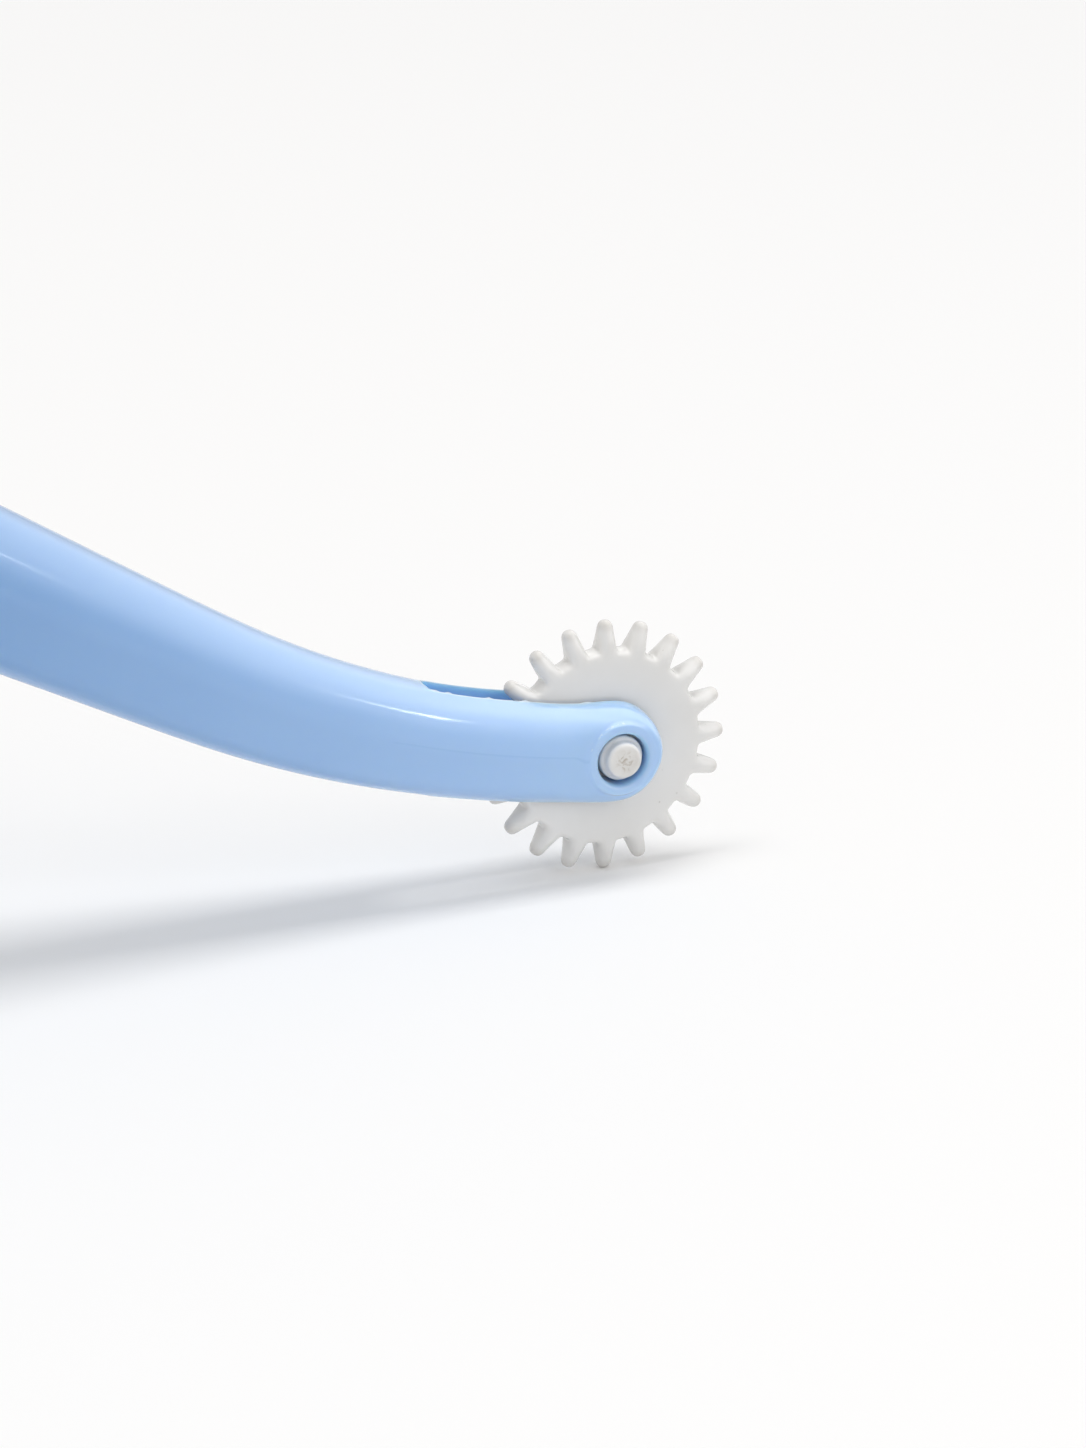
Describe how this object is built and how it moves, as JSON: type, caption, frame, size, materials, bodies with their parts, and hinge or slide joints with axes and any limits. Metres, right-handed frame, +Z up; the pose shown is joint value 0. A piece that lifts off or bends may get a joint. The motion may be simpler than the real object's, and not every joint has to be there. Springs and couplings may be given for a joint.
{
  "type": "fondant wheel tool",
  "caption": "Hand tool with a curved moulded handle whose forked end carries a free-turning toothed wheel on a pin, for marking stitch lines in fondant.",
  "frame": {"origin": "on the table plane that the wheel stands on, under the middle of the tool's box", "axes": "+Z up; +X from the handle's butt towards the wheel, the tool's longest extent; +Y along the axle, the tool's shortest extent. The tool is held as in use: the wheel's lowest tooth on z = 0 and the handle rising towards -X"},
  "size_m": [0.1406, 0.0148, 0.0696],
  "materials": {
    "blue_plastic": "glossy injection-moulded light blue plastic",
    "wheel_plastic": "satin off-white moulded plastic with rounded edges",
    "pin_plastic": "dull off-white moulded plastic with a faint gate mark on its end"
  },
  "bodies": {
    "handle": {"handle": "blue_plastic"},
    "wheel": {"wheel": "wheel_plastic", "axle_pin": "pin_plastic"}
  },
  "joints": [
    {"name": "wheel_spin", "type": "hinge", "parent": "handle", "child": "wheel", "pos_m": [0.05776, 0, 0.0125], "axis": [0, 1, 0], "continuous": true}
  ]
}
